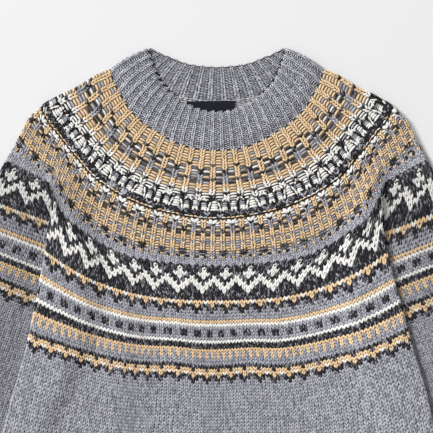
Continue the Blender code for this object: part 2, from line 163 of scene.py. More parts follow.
body = {
    "walesAbove": 84,    # across the front in the zigzag, and after the last increases
    "walesBelow": 104,
    "spareWales": 8,     # at each end, of which the lean brings some into view
    "increaseRow": 4,
    "lastRow": 63,
    "rowBend": 2.7,
    "seamGap": 0.4,      # between the body and the yoke
    # how far the rows of the bands lie out of their even curve: x, and up
    "ripple": [(-215, 0.0), (-182, 2.6), (-140, 1.2), (-94, 0.8), (-52, 2.8), (-22, 0.2),
               (0, 0.0), (41, 2.2), (74, -0.8), (99, -0.2), (132, 0.8), (166, 0.2), (215, 0.0)],
    "rippleStrength": [(0, 0.2), (6.5, 0.8), (22, 1.5), (36, 1.0), (50, 0.0)],
    # knit row, height at the left and the right fold, height in the middle
    "rows": [(-5.3, 89.5, 89.5, 24.2), (0, 61.4, 59.4, 1.0), (6.5, 30.8, 26.4, -24.8),
             (12, 5.0, 3.6, -46.9), (15, -11.4, -11.0, -57.4), (21.5, -39.8, -36.6, -83.2),
             (25.5, -55.0, -52.6, -97.6), (35.7, -104.2, -104.2, -137.8),
             (45.9, -155.8, -155.8, -178.6), (56.3, -212.2, -212.2, -220.6),
             (63, -248.2, -248.2, -248.2)],
    # height, where the left and the right fold are
    "folds": [(197.4, 240.0, 240.0), (97.4, 201.4, 198.0), (65.6, 206.2, 204.0),
              (37.4, 211.0, 210.0), (8.6, 216.0, 218.5), (-55.0, 229.8, 235.8),
              (-104.2, 244.0, 251.0), (-155.8, 257.4, 262.0), (-212.2, 271.2, 272.0),
              (-248.2, 274.2, 274.2)],
    # above the increases the wales lean to the middle: row, left half, right half
    "lean": [(-11, 0.89, 0.91), (-8, 0.90, 0.92), (-3, 0.95, 0.985), (0, 0.985, 0.995), (2, 1.0, 1.0)],
    # the knit is drawn together in places: how much at a row, and the share of the wales that
    # lies at a share of the way across
    "spreadStrength": [(-11, 0.4), (0, 0.67), (4, 0.9), (9, 1.0)],
    "spread": [(0.0, 0.0), (0.072, 0.080), (0.246, 0.254), (0.304, 0.296), (0.362, 0.343),
               (0.42, 0.408), (0.478, 0.463), (0.536, 0.507), (0.594, 0.557), (0.71, 0.670),
               (0.768, 0.726), (0.826, 0.789), (0.884, 0.861), (0.942, 0.936), (1.0, 1.0)],
}


def foldX(x, y):
    return np.where(x < 0, readTable(body["folds"], y, 1), readTable(body["folds"], y, 2))


# Each section of a sleeve or a cuff is its outer fold's x, y and its inner fold's x, y, and
# each section of the hem rib is its left fold's and its right fold's.
sleeve = {
    "wale": 5.0,
    "edgeLean": 0.93,    # cosine of the angle between the sleeve's outer fold and the body
    "unseen": 12.0,      # stitches further in under the body's fold than this are left out
    "sections": [(254.2, 172.2, 202.9, 145.2), (268.8, 145.4, 196.5, 121.0),
                 (280.8, 117.8, 182.4, 80.6), (296.4, 80.6, 166.8, 29.0),
                 (314.4, 37.4, 178.8, -17.8), (332.4, -10.6, 198.0, -64.6),
                 (350.4, -61.0, 219.6, -111.4), (367.2, -111.4, 242.4, -157.0),
                 (382.8, -161.8, 265.2, -201.4), (396.0, -205.0, 285.6, -239.8)],
    # knit row and the section it lies on, on the left and on the right sleeve
    "rows": [(-11, 0.0, 0.0), (0, 1.82, 2.16), (6.5, 2.57, 2.93), (12, 3.14, 3.42),
             (15, 3.35, 3.66), (22, 3.92, 4.28), (25.5, 4.2, 4.54), (97, 9.0, 9.0)],
    "lastRow": 97,
    # painted shade: the sleeves' colour is darker, as they lie lower beside the raised body
    "paintedShade": 0.23,
}
cuff = {
    "ribs": 12, "rows": 16, "points": 50, "clothRows": 17,
    "span": (0.03, 3.95),      # the sections between which the ribs' rows lie
    "sections": [(396.1, -205.4, 285.7, -240.2), (396.0, -212.0, 290.6, -245.4),
                 (402.0, -240.0, 302.0, -271.5), (408.2, -271.0, 314.4, -300.6),
                 (408.8, -273.9, 315.4, -303.4)],
}
hem = {
    "ribs": 54, "rows": 15, "points": cloth["points"], "clothRows": 9,
    "span": (1 / 300, 149 / 150),
    "sections": [(-274.2, -248.6, 274.2, -248.6), (-264.0, -307.4, 264.0, -307.4)],
}


def sleeveInnerX(y):
    sections = sorted((s[3], s[2]) for s in sleeve["sections"])
    near = [readTable(sections, y + step) for step in (-28.0, -14.0, 0.0, 14.0, 28.0)]
    return np.min(near, axis=0)


# How high the body lies over its sleeves, and how far the front stands off the back.
def bodyLift(x, y, onYoke=False):
    side = np.abs(x)
    height = cloth["lift"] * ramp("overSleeve", side - sleeveInnerX(y)) * ramp("liftAboveHem", y)
    if onYoke:
        height = height * ramp("liftWithinShoulder", side) * ramp("liftBelowShoulder", y)
    return height


def yokeLift(x, y):
    return bodyLift(x, y, True)


def bodyPuff(x, y):
    inward = foldX(x, y) - np.abs(x)
    along = ramp("puffBelowYoke", y) * ramp("puffAboveHem", y)
    puff = cloth["puff"] * ramp("puffFromFold", inward) + cloth["room"] * ramp("roomFromFold", inward)
    return puff * along


def sleevePuff(x, y):
    outer = [(s[1], s[0]) for s in sleeve["sections"] + cuff["sections"]]
    pastFold = np.abs(x) - foldX(x, y)
    fromEdge = (readTable(outer, y) - np.abs(x)) * sleeve["edgeLean"]
    inSleeve = ramp("sleevePastFold", pastFold) * ramp("sleeveFromEdge", fromEdge)
    return cloth["sleevePuff"] * inSleeve * ramp("sleeveBelowTop", y)


def onGround(x, y):
    return np.zeros_like(x)


# A panel is one side of a flattened tube: its rows on the plan, from fold to fold, with a
# quarter turn at each end. side is 1 on top and -1 underneath. crown lifts it row by row.
def makePanel(keys, lines, side, low, rise, fold=None, crown=None, count=260):
    keys = np.array(keys, float)
    folds = np.full(len(keys), cloth["fold"]) if fold is None else np.array(fold, float)
    flats = np.array([evenly(line, count, radius) for line, radius in zip(lines, folds)])
    outLeft = np.array([line[0] - flat[0] for line, flat in zip(lines, flats)])
    outRight = np.array([line[-1] - flat[-1] for line, flat in zip(lines, flats)])
    for out in (outLeft, outRight):
        out /= np.linalg.norm(out, axis=1, keepdims=True)
    return {
        "keys": keys, "flats": flats, "outLeft": outLeft, "outRight": outRight,
        "lengths": np.array([lineLengths(flat)[-1] for flat in flats]), "folds": folds,
        "side": side, "low": low, "rise": rise, "crown": crown,
    }


# across runs 0 to 1 from fold to fold; out is how far the point stands off the cloth.
def panelPoint(panel, row, across, out):
    row, across, out = np.broadcast_arrays(row, across, out)
    keys, flats = panel["keys"], panel["flats"]
    place = np.interp(row, keys, np.arange(len(keys)))
    i = np.clip(place.astype(int), 0, len(keys) - 2)
    f = place - i

    def between(name, share):
        return panel[name][i] * (1 - share) + panel[name][i + 1] * share

    length, fold = between("lengths", f), between("folds", f)
    quarter = fold * math.pi / 2
    at = across * (length + 2 * quarter) - quarter
    t = np.clip(at / length, 0.0, 1.0) * (flats.shape[1] - 1)
    j = np.clip(t.astype(int), 0, flats.shape[1] - 2)
    g = (t - j)[..., None]
    f = f[..., None]
    plan = ((flats[i, j] * (1 - g) + flats[i, j + 1] * g) * (1 - f)
            + (flats[i + 1, j] * (1 - g) + flats[i + 1, j + 1] * g) * f)
    x, y = plan[..., 0], plan[..., 1]
    if panel["crown"]:
        out = out + panel["crown"](row)
    middle = panel["low"](x, y) + fold
    flat = middle + panel["side"] * (fold + out)
    if panel["side"] > 0:
        flat = flat + panel["rise"](x, y)
    leftTurn = np.clip(-at / quarter, 0.0, 1.0) * math.pi / 2
    rightTurn = np.clip((at - length) / quarter, 0.0, 1.0) * math.pi / 2
    turn = np.maximum(leftTurn, rightTurn)
    direction = np.where((leftTurn > 0)[..., None], between("outLeft", f), between("outRight", f))
    reach = (fold + out) * np.sin(turn)
    x = x + direction[..., 0] * reach
    y = y + direction[..., 1] * reach
    return np.stack([x, y, middle + (flat - middle) * np.cos(turn)], -1)


# Lines at close rows between the given ones, without corners at those.
def smoothRows(keys, lines, fine):
    keys, lines, fine = np.array(keys, float), np.array(lines), np.array(fine, float)
    slopes = np.gradient(lines, keys, axis=0)
    i = np.clip(np.searchsorted(keys, fine, side="right") - 1, 0, len(keys) - 2)
    span = (keys[i + 1] - keys[i])[:, None, None]
    t = (fine - keys[i])[:, None, None] / span
    return ((2 * t ** 3 - 3 * t ** 2 + 1) * lines[i] + (t ** 3 - 2 * t ** 2 + t) * span * slopes[i]
            + (3 * t ** 2 - 2 * t ** 3) * lines[i + 1] + (t ** 3 - t ** 2) * span * slopes[i + 1])


def bodyLine(row, leftY, rightY, middleY):
    across = np.linspace(-1, 1, 161)
    foldY = np.where(across < 0, leftY, rightY)
    x = across * foldX(across, foldY)
    ripple = np.convolve(np.pad(readTable(body["ripple"], x), 4, mode="edge"), np.full(9, 1 / 9), "valid")
    ripple = ripple * readTable(body["rippleStrength"], row)
    return np.stack([x, foldY + (middleY - foldY) * (1 - np.abs(across) ** body["rowBend"]) + ripple], 1)


def bodyTopLine():
    line = evenly(yokeLine(2.0), 400)
    line = line[np.abs(line[:, 0]) <= yoke["creaseX"]]
    ends = [line[k] + (line[k] - line[n]) / np.linalg.norm(line[k] - line[n]) * cloth["fold"]
            for k, n in ((0, 1), (-1, -2))]
    return np.vstack([ends[:1], line, ends[1:]]) - (0.0, body["seamGap"])


def bodyPanel(side):
    keys = [firstRow] + [row[0] for row in body["rows"]]
    lines = [evenly(line, linePoints) for line in (bodyTopLine(), *(bodyLine(*row) for row in body["rows"]))]
    fine = np.arange(firstRow - 1, body["lastRow"] + 1, 0.5)
    return makePanel(fine, smoothRows(keys, lines, fine), side, bodyLift, bodyPuff)


def yokePanel(side):
    levels = np.linspace(-0.04, 2.04, 53)
    lines = [evenly(yokeLine(v), linePoints) if side > 0 else backYokeLine(v) for v in levels]
    return makePanel(levels, lines, side, yokeLift, bodyPuff)


# A tube between straight sections: a sleeve, a cuff or the hem rib, on which the puff is nothing.
def tubePanel(sections, keys, rows, side, sign):
    ends = np.array(sections).reshape(-1, 2, 2) * (sign, 1)
    place = np.interp(rows, keys[0], keys[1])
    lines = smoothRows(np.arange(len(ends)), ends, place)
    lines = [np.linspace(line[0], line[1], 60) for line in lines]
    return makePanel(rows, lines, side, onGround, sleevePuff if side > 0 else onGround)


def sleevePanel(rows, side, sign):
    keys, left, right = zip(*sleeve["rows"])
    return tubePanel(sleeve["sections"], (keys, left if sign < 0 else right), rows, side, sign)


neckband = {
    "frontRibs": 28,
    "backRibs": 16,
    "rows": 20,
    "thick": 4.5,
    "clear": 0.15,       # what the band stands out more than its folded thickness
    "seamDip": 0.5,      # how far it lies lower at its seam, over a share of its rows
    "seamShare": 0.3,
    "lipDrop": 2.4,      # how far it rounds over at its lip, over a share of its rows
    "lipShare": 0.07,
    "lipShadowGap": 1.9,       # the stitches inside the back end this far from the front's lip, so the dark cloth shows there as a painted shadow line
    "bulge": (1.26, 2.52),    # its ends bulge out and up
    "frontLip": [(83.6, 307.1), (81.6, 297.8), (79.2, 289.4), (74.4, 277.4), (68.4, 265.4),
                 (61.8, 258.2), (55.2, 251.6), (48.6, 246.2), (37.2, 239.5), (24.0, 233.0),
                 (12.0, 229.9), (0.0, 229.2)],
    "backLip": [(83.6, 307.1), (75.0, 303.1), (64.8, 297.8), (56.4, 295.0), (47.0, 290.9),
                (37.2, 287.5), (24.0, 285.1), (12.0, 283.9), (0.0, 283.4)],
}


def bandLine(front, share):
    seam = yokeLine(0.0) if front else bothHalves(yoke["backSeam"])
    lip = bothHalves(neckband["frontLip" if front else "backLip"])
    line = evenly(seam, linePoints) * (1 - share) + evenly(lip, linePoints) * share
    # its ends bulge a little between the seam and the lip
    end = ramp("bandEnd", np.abs(line[:, 0]) - abs(line[0, 0])) * math.sin(math.pi * min(max(share, 0), 1))
    out, up = neckband["bulge"]
    return line + np.stack([out * end * np.sign(line[:, 0]), up * end], 1)


# The band rises from its seam and rounds over at its lip.
def bandCrown(row):
    return -neckband["seamDip"] * (1 - ease(row / neckband["seamShare"])) + lipCrown(row)


def lipCrown(row):
    lip = np.clip((row - 1.0) / neckband["lipShare"] + 1.0, 0.0, 1.0)
    return -neckband["lipDrop"] * (1 - np.sqrt(1 - 0.98 * lip ** 2))


def bandPanel(side, inside=False):
    shares = np.linspace(-0.6 if inside else 0.0, 1.04, 42)
    lines = [bandLine(side > 0 and not inside, share) for share in shares]
    if inside:
        folds = np.full(len(shares), neckband["thick"] / 2)
    else:
        grown = neckband["thick"] + neckband["clear"] - cloth["fold"]
        folds = cloth["fold"] + grown * ease(shares / neckband["seamShare"])
    return makePanel(shares, lines, side, onGround, onGround, folds, bandCrown if side > 0 else lipCrown)


# A yarn shape in its own cell: a across, b along the rows, h up, as a row of stations
# with a point at each end. Each station is (a, b, half width across a, half width across b, h).
# With it go the places along and across the yarn itself, for its fibres.
def yarnShape(stations, sunk=-0.85):
    points, faces, lie = [], [], []
    rings = []
    for a, b, wa, wb, h in stations:
        along = math.hypot(a - stations[0][0], b - stations[0][1])
        if wa == 0 and wb == 0:
            rings.append([len(points)] * 3)
            points.append((a, b, h))
            lie.append((0.0, along))
        else:
            rings.append([len(points) + k for k in range(3)])
            points += [(a - wa, b - wb, sunk), (a, b, h), (a + wa, b + wb, sunk)]
            lie += [(side * 1.6 * math.hypot(wa, wb), along) for side in (-1, 0, 1)]
    for low, high in zip(rings, rings[1:]):
        for k in range(2):
            if low[k] != low[k + 1]:
                faces.append((low[k], low[k + 1], high[k + 1]))
            if high[k] != high[k + 1]:
                faces.append((low[k], high[k + 1], high[k]))
    return np.array(points), np.array(faces), np.array(lie)


# The left and the right leg of a stitch, from the right one.
def bothLegs(stations, sunk=-0.85):
    mirrored = [(-a, b, -wa, wb, h) for a, b, wa, wb, h in stations]
    return yarnShape(mirrored, sunk), yarnShape(stations, sunk)


legs = bothLegs([(0.03, 0.68, 0, 0, -0.25), (0.12, 0.38, 0.15, 0.06, 0.12), (0.22, 0.02, 0.23, 0.08, 0.25),
                 (0.33, -0.34, 0.20, 0.06, -0.05), (0.42, -0.68, 0, 0, -0.8)])
flatLegs = bothLegs([(0.02, 0.62, 0, 0, -0.5), (0.23, 0.0, 0.24, 0.10, 0.0),
                     (0.44, -0.62, 0, 0, -0.5)], -0.5)
railLegs = bothLegs([(0.10, 0.68, 0, 0, -0.4), (0.15, 0.36, 0.14, 0.0, 0.1), (0.22, 0.0, 0.18, 0.0, 0.25),
                     (0.28, -0.34, 0.16, 0.0, 0.05), (0.32, -0.68, 0, 0, -0.6)])
strandReach = 1.36    # from end to end
strandShape = yarnShape([(0, 0.68, 0, 0, -0.5), (0, 0.4, 0.45, 0, 0.05), (0, 0.0, 0.5, 0, 0.25),
                         (0, -0.4, 0.45, 0, 0.05), (0, -0.68, 0, 0, -0.5)])
barShape = yarnShape([(-0.5, 0.12, 0, 0, -0.7), (-0.33, 0.04, 0, 0.27, 0.0), (0.0, -0.02, 0, 0.31, 0.2),
                      (0.33, 0.04, 0, 0.27, 0.0), (0.5, 0.12, 0, 0, -0.7)])
archShape = yarnShape([(-0.5, 0.3, 0, 0, -0.7), (-0.36, 0.06, 0.1, 0.24, 0.25), (0.0, -0.14, 0, 0.38, 0.45),
                       (0.36, 0.06, -0.1, 0.24, 0.25), (0.5, 0.3, 0, 0, -0.7)])
flatBarShape = yarnShape([(-0.5, 0, 0, 0, -0.5), (0.0, 0, 0, 0.42, 0.0), (0.5, 0, 0, 0, -0.5)], -0.5)
yarnNames = ".KWGR"  # grey, charcoal, ecru, gold, and the ribs' grey


# Underneath, where the cloth lies on the floor, the stitches are flat, with no relief.
class Knitting:
    def __init__(self, name, panel, seed, paintedShade=0.0):
        self.name, self.panel, self.paintedShade = name, panel, paintedShade
        self.points, self.faces, self.yarns, self.tones, self.lies = [], [], [], [], []
        self.count = 0
        self.flat = panel["side"] < 0
        self.relief = 0.0 if self.flat else 1.0
        self.random = np.random.default_rng(seed)

    # One shape at many places: the middle of each (across, row), its size across and along,
    # and its yarn. slant turns a bar out of its row, and lean moves a strand's ends across.
    def add(self, shape, across, row, wide, high, yarn, raised=0.0, slant=0.0, lean=0.0):
        local, faces, lie = shape
        across, row, wide, high, raised, slant, lean = (
            np.broadcast_to(np.asarray(v, float), np.shape(across))[:, None]
            for v in (across, row, wide, high, raised, slant, lean))
        count = len(across)
        jitter = self.random.normal(0, 1, (4, count, 1))
        a = local[None, :, 0] * (1 + 0.05 * jitter[0]) + 0.03 * jitter[1] + lean * local[None, :, 1]
        b = local[None, :, 1] * (1 + 0.04 * jitter[2]) + 0.03 * jitter[3] + slant * local[None, :, 0]
        h = local[None, :, 2] + raised * self.relief
        places = panelPoint(self.panel, row + b * high, across + a * wide, h)
        index = self.count + np.arange(count)[:, None, None] * len(local) + faces[None]
        self.points.append(places.reshape(-1, 3))
        self.faces.append(index.reshape(-1, 3))
        yarn = [yarnNames.index(y) for y in np.broadcast_to(yarn, count)]
        self.yarns.append(np.repeat(yarn, len(faces)))
        self.tones.append(np.repeat(self.random.random(count), len(local)))
        fibres = np.empty((count, len(local), 3))
        fibres[..., :2] = lie * (2.4, 0.6) * mm
        fibres[..., 2] = self.random.random((count, 1))
        self.lies.append(fibres.reshape(-1, 3))
        self.count += count * len(local)

    # Knit stitches: both legs of each. In a ribbed column they stand upright, as two rails.
    def stitches(self, across, row, wide, high, yarn, rails=False, raised=0.0):
        for leg in flatLegs if self.flat else railLegs if rails else legs:
            self.add(leg, across, row, wide, high, yarn, raised)

    # Purl stitches, each a bar.
    def bars(self, across, row, wide, high, yarn, raised=0.0, slant=0.0, shape=barShape):
        self.add(flatBarShape if self.flat else shape, across, row, wide, high, yarn, raised, slant)

    # One row of a chart, as far as it shows.
    def chartStitches(self, across, row, wide, places, shown):
        if not shown.any():
            return
        across, wide = across[shown], wide[shown]
        yarns = np.array(chartYarns(row, places[shown]))
        purl = yarns == "A"
        if purl.any():
            self.bars(across[purl], row + 0.1, wide[purl] * 1.2, 1.0, "W", shape=archShape)
        yarns[purl] = "K"
        # ecru stitches are fuller, and in the zigzag taller as well
        wide = wide * np.where(yarns == "W", 1.16, 1.0)
        high = np.where((yarns == "W") & (row < 0), 1.16, 1.0)
        self.stitches(across, row, wide, high, yarns)

    def build(self):
        points = np.concatenate(self.points) * mm
        faces = np.concatenate(self.faces)
        yarns = np.concatenate(self.yarns)
        a, b, c = (points[faces[:, k]] for k in range(3))
        if np.cross(b - a, c - a)[:, 2].sum() * self.panel["side"] < 0:
            faces = faces[:, ::-1]
        used = sorted(set(yarns.tolist()))
        mesh = newMesh(self.name, points, faces)
        for k in used:
            mesh.materials.append(yarnMaterials[yarnNames[k]])
        mesh.polygons.foreach_set("material_index", np.searchsorted(used, yarns).astype(np.int32))
        for name, kind, key, values in (
                ("tone", "FLOAT", "value", np.concatenate(self.tones)),
                ("paintedShade", "FLOAT", "value", np.full(len(points), self.paintedShade)),
                ("lie", "FLOAT_VECTOR", "vector", np.concatenate(self.lies).ravel())):
            mesh.attributes.new(name, kind, "POINT").data.foreach_set(key, values.astype(np.float32))
        return placePiece(self.name, mesh)


def newMesh(name, points, faces):
    mesh = bpy.data.meshes.new(name)
    faces = np.ascontiguousarray(faces)
    mesh.vertices.add(len(points))
    mesh.vertices.foreach_set("co", np.asarray(points, np.float32).ravel())
    mesh.loops.add(faces.size)
    mesh.loops.foreach_set("vertex_index", faces.astype(np.int32).ravel())
    mesh.polygons.add(len(faces))
    mesh.polygons.foreach_set("loop_start", (np.arange(len(faces)) * faces.shape[1]).astype(np.int32))
    mesh.update(calc_edges=True)
    mesh.polygons.foreach_set("use_smooth", np.ones(len(faces), bool))
    return mesh


# Faces between the neighbours in a grid of points, and from a line of them to the layer below.
def gridFaces(grid):
    return np.stack([grid[:-1, :-1], grid[:-1, 1:], grid[1:, 1:], grid[1:, :-1]], -1).reshape(-1, 4)


def rimFaces(line, shift):
    return np.stack([line[1:], line[:-1], line[:-1] + shift, line[1:] + shift], -1)


def placeObject(name, data):
    placed = bpy.data.objects.new(name, data)
    bpy.context.scene.collection.objects.link(placed)
    return placed


def placePiece(name, mesh):
    piece = placeObject(name, mesh)
    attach(piece, "root")
    return piece


# A closed wall between two layers of points, each a grid, or a grid joined to a ring.
def closedWall(name, layers, ring, material):
    rowCount, pointCount = layers[0].shape[:2]
    shift = rowCount * pointCount
    points = np.concatenate([layer.reshape(-1, 3) for layer in layers]) * mm
    grid = np.arange(shift).reshape(rowCount, pointCount)
    if ring:
        grid = np.hstack([grid, grid[:, :1]])
    faces = [gridFaces(grid), gridFaces(grid + shift)[:, ::-1],
             rimFaces(grid[0], shift), rimFaces(grid[-1], shift)[:, ::-1]]
    if not ring:
        faces += [rimFaces(grid[:, 0], shift)[:, ::-1], rimFaces(grid[:, -1], shift)]
    faces = np.concatenate(faces)
    a, b, c = (points[faces[:, k]] for k in range(3))
    if np.einsum("ij,ij->i", a, np.cross(b, c)).sum() < 0:
        faces = faces[:, ::-1]
    mesh = newMesh(name, points, faces)
    mesh.materials.append(material)
    return placePiece(name, mesh)


# The closed cloth behind the stitches: a ring round both sides of a tube, or one side of it.
def clothWall(name, panels, rows, count, seat, wall, tint="grey"):
    across = np.linspace(0, 1, count)[None]
    rows = np.array(rows, float)[:, None]
    layers = []
    for depth in (seat, seat + wall):
        depth = np.broadcast_to(np.asarray(depth, float).reshape(-1, 1), rows.shape)
        parts = [panelPoint(panels[0], rows, across, -depth)]
        if len(panels) > 1:
            parts.append(panelPoint(panels[1], rows, across[:, -2:0:-1], -depth))
        layers.append(np.concatenate(parts, 1))
    return closedWall(name, layers, len(panels) > 1, clothMaterials[tint])


# The yoke's cloth is darker where the ladders part.
def darkenParting(piece):
    piece.data.materials.append(clothMaterials["dark"])
    around, rows = 2 * cloth["points"] - 2, rowsOf["yoke"]
    top, bottom = yoke["darkLevels"]
    for face in range(2 * around * (len(rows) - 1)):
        level = rows[face // around % (len(rows) - 1)]
        piece.data.polygons[face].material_index = int(top < level < bottom)


def evenShares(count):
    return (np.arange(count) + 0.5) / count


def drawnTogether(share, row):
    strength = readTable(body["spreadStrength"], row)
    inside = np.clip(share, 0.0, 1.0)
    drawn = share + (readTable(body["spread"], inside) - inside) * strength
    lean = [readTable(body["lean"], row, half) for half in (1, 2)]
    return 0.5 + (drawn - 0.5) * np.where(drawn < 0.5, *lean)


# The bands of colour, one string a knit row: K charcoal, W ecru, G gold, . grey. A is a purl
# stitch in ecru.
zigzagChart = {"first": firstRow, "rows": [
    "K.K.K.", "AKKKKK", "WKKKKK", "WWKKKW", "WKKWKK", "KKWWWK", "KWWKWW", "WWKKKW",
    "WKKKKK", "KKKKKK", "KKKKKK",
]}
bandChart = {"first": 0, "rows": [
    "WGGG", "KKGK", ".KKK", "..K.", "....", "....", "GGGG", "WWWW", "....", "K..K", "K..K",
    "....", "WWWW", "KKKK", "KKKK", "GGGG", "G.G.", "G.G.", "....", "....", "KKKK", "GGKG",
    "WGGG", "KKGK", ".KKK", "..K.",
]}


def chartYarns(row, places):
    for chart, shift in ((zigzagChart, 3), (bandChart, 0)):
        line = int(row) - chart["first"]
        if 0 <= line < len(chart["rows"]):
            repeat = chart["rows"][line]
            return [repeat[(place - shift) % len(repeat)] for place in places]
    return ["."] * len(places)


# The last row lies close to the one above, and reaches the ribs.
def rowsDownTo(last):
    return [*range(firstRow, last), last - 0.5]


def knitBody(name, side, seed):
    knit = Knitting(name, bodyPanel(side), seed)
    for row in rowsDownTo(body["lastRow"]):
        count = body["walesBelow"] if row >= body["increaseRow"] else body["walesAbove"]
        places = np.arange(-body["spareWales"], count + body["spareWales"])
        across = drawnTogether((places + 0.5) / count, row)
        knit.chartStitches(across, row, np.gradient(across), places, (across > 0) & (across < 1))
    return knit.build()


def knitSleeve(name, sign, side, seed):
    panel = sleevePanel(np.arange(firstRow - 1, sleeve["lastRow"] + 1.0), side, sign)
    knit = Knitting(name, panel, seed, sleeve["paintedShade"])
    for row in rowsDownTo(sleeve["lastRow"]):
        length = np.interp(row, panel["keys"], panel["lengths"]) + math.pi * cloth["fold"]
        places = np.arange(int(length / sleeve["wale"]))
        across = (places + 0.5) * sleeve["wale"] / length
        across = across if sign < 0 else 1 - across
        at = panelPoint(panel, float(row), across, 0.0)
        under = foldX(at[:, 0], at[:, 1]) - np.abs(at[:, 0]) > sleeve["unseen"]
        shown = ~(under & (at[:, 1] > body["rows"][-1][1]) & (side > 0))
        knit.chartStitches(across, row, np.full(len(across), sleeve["wale"] / length), places, shown)
    return knit.build()


# The front's lip lies over the stitches inside the back, and past it a narrow gap is left out, where the
# dark cloth shows as a painted shadow line.
def underLipAndShadowLine(places):
    lip = bothHalves(neckband["frontLip"])
    away = np.linalg.norm(places[:, None, :2] - lip[None], axis=2).min(1)
    return (places[:, 1] < readTable(lip, places[:, 0])) | (away < neckband["lipShadowGap"])


# Ribs: a raised column of knit, and two columns of purl bars lying lower beside it. Widths
# and places are shares of a rib.
ribs = {
    "columnWide": 0.5, "columnRaised": 0.4,
    "firstBar": 0.36, "nextBar": 0.275, "barWide": 0.3025, "barSlant": 0.35,
}


def knitRibs(name, panel, count, rows, span, seed, deep=0.3, paintedShade=0.0, leftOut=None):
    knit = Knitting(name, panel, seed, paintedShade)
    pitch = (span[1] - span[0]) / rows
    middles = span[0] + (np.arange(rows + 1) + 0.5) * pitch
    columns = (np.arange(-1, count) + 0.5) / count

    def grid(shift, last):
        across, row = (line.ravel() for line in np.meshgrid(columns + shift, middles))
        shown = (across > 0) & (across < 1) & (row < last)
        if leftOut:
            shown &= ~leftOut(panelPoint(panel, row, across, 0.0))
        return across[shown], row[shown]

    across, row = grid(0.0, span[1] + pitch)
    knit.stitches(across, row, ribs["columnWide"] / count, pitch, "R", rails=True,
                  raised=ribs["columnRaised"])
    for bar in range(2):
        across, row = grid((ribs["firstBar"] + ribs["nextBar"] * bar) / count, span[1])
        knit.bars(across, row + 0.5 * pitch * bar, ribs["barWide"] / count, pitch, "R", raised=-deep,
                  slant=knit.random.normal(0, ribs["barSlant"], len(row)))
    return knit.build()


# What shows of the back below the band, inside the neck: purl rows, the first one linked.
insideNeck = {"rows": 11, "first": -0.02, "pitch": 0.05, "halfWidth": 0.42, "wide": 1.05}


def knitInside(name, seed):
    knit = Knitting(name, bandPanel(1, inside=True), seed)
    bars = 3 * neckband["backRibs"]
    across = evenShares(bars)
    across = across[np.abs(across - 0.5) < insideNeck["halfWidth"]]
    for k in range(insideNeck["rows"]):
        high, raised = (0.06, -0.5) if k else (0.085, 0.1)
        knit.bars(across, insideNeck["first"] - insideNeck["pitch"] * k, insideNeck["wide"] / bars,
                  high, "R", raised)
    return knit.build()


# The yoke's ladders: raised knit columns with purl bars between them. Each row of rungs is the
# yarn of every other column, of the columns between, and of the bars.
ladderAbove = {
    "columns": 28, "first": 0.0135, "pitch": 0.0420, "columnShare": 0.52, "shift": 0.006, "turned": 0,
    "rungs": [
        "GGG", "GGG", "GGG", "GGG", "GGG", "KGG", "GGK", "GKW", "GKK", "G.G", "K.K", "G.K",
        "GGG", "GGG", "WWG", "WKW", "KWW", "KWW",
    ],
}
ladderBelow = {
    "columns": 48, "first": 1.154, "pitch": 0.0528, "columnShare": 0.56, "shift": 0.002, "turned": 1,
    "rungs": [
        "GKW", "G.K", "K.G", "K.K", "GGK", "GGG", "GGG", "..G", "GG.", "GGG", "GGG", "K.G", "K..",
    ],
}
greyRungs = {"K": 0.25, "W": 0.12, "G": 0.12, ".": 0.12}    # how many bars of each yarn are grey


def knitLadder(knit, ladder):
    columns, pitch, share = ladder["columns"], ladder["pitch"], ladder["columnShare"]
    across = evenShares(columns) + ladder["shift"]
    across = across[across < 1.0]
    between = np.append(across, across[0] - 1 / columns) + 0.5 / columns
    between = between[(between > 0) & (between < 1)]
    for k, (odd, even, rung) in enumerate(ladder["rungs"]):
        at = ladder["first"] + pitch * k
        yarns = [odd if (n + ladder["turned"]) % 2 else even for n in range(len(across))]
        knit.stitches(across, at, share / columns, pitch, yarns, rails=True, raised=0.55)
        grey = knit.random.random(len(between)) < greyRungs[rung]
        knit.bars(between, at + 0.25 * pitch, (1.15 - share) / columns, pitch,
                  np.where(grey, ".", rung), raised=-0.2)


# Where the ladders part into more columns: a widening ladder, its legs, and small ones between.
# Places and widths are shares of one of the 11 units round the yoke.
# Bars: place, level, width of the first and towards the last, height, yarns, pitch.
partings = 11
partingBars = [
    (0.0, 0.772, 0.14, 0.27, 0.054, "WWWW", 0.038),
    (0.5, 0.775, 0.14, 0.18, 0.044, "WW.W", 0.032),
    (0.27, 0.770, 0.15, 0.17, 0.042, "K..WW", 0.028),
]
# Strands: place and level at the top, place and level at the bottom, thickness, yarn.
partingStrands = [
    (0.06, 0.715, 0.06, 0.765, 0.042, "K"), (0.02, 0.715, 0.12, 0.790, 0.042, "K"),
    (0.09, 0.765, 0.15, 0.855, 0.056, "W"), (0.15, 0.850, 0.17, 0.915, 0.056, "W"),
    (0.24, 0.850, 0.23, 0.915, 0.056, "W"), (0.29, 0.700, 0.21, 0.770, 0.056, "W"),
    (0.33, 0.700, 0.40, 0.770, 0.056, "W"), (0.20, 0.760, 0.18, 0.850, 0.042, "K"),
    (0.40, 0.760, 0.42, 0.850, 0.042, "K"), (0.46, 0.845, 0.45, 0.915, 0.056, "W"),
]


def knitPartings(knit):
    unit = 1.0 / partings

    def places(shift):
        across = 0.494 + np.arange(-6, 7) / partings + shift * unit
        return across[(across > 0.01) & (across < 0.99)]

    for place, level, first, last, high, yarns, pitch in partingBars:
        for hand in (-1, 1) if place not in (0.0, 0.5) else (1,):
            for k, yarn in enumerate(yarns):
                wide = (first + (last - first) * k / len(yarns)) * unit
                knit.bars(places(hand * place), level + k * pitch, wide, high, yarn, raised=0.2)
    for top, topLevel, bottom, bottomLevel, thick, yarn in partingStrands:
        for hand in (-1, 1):
            knit.add(strandShape, places(hand * (top + bottom) / 2), (topLevel + bottomLevel) / 2,
                     thick * unit, (bottomLevel - topLevel) / strandReach, yarn, raised=0.5,
                     lean=hand * (bottom - top) / strandReach / thick)


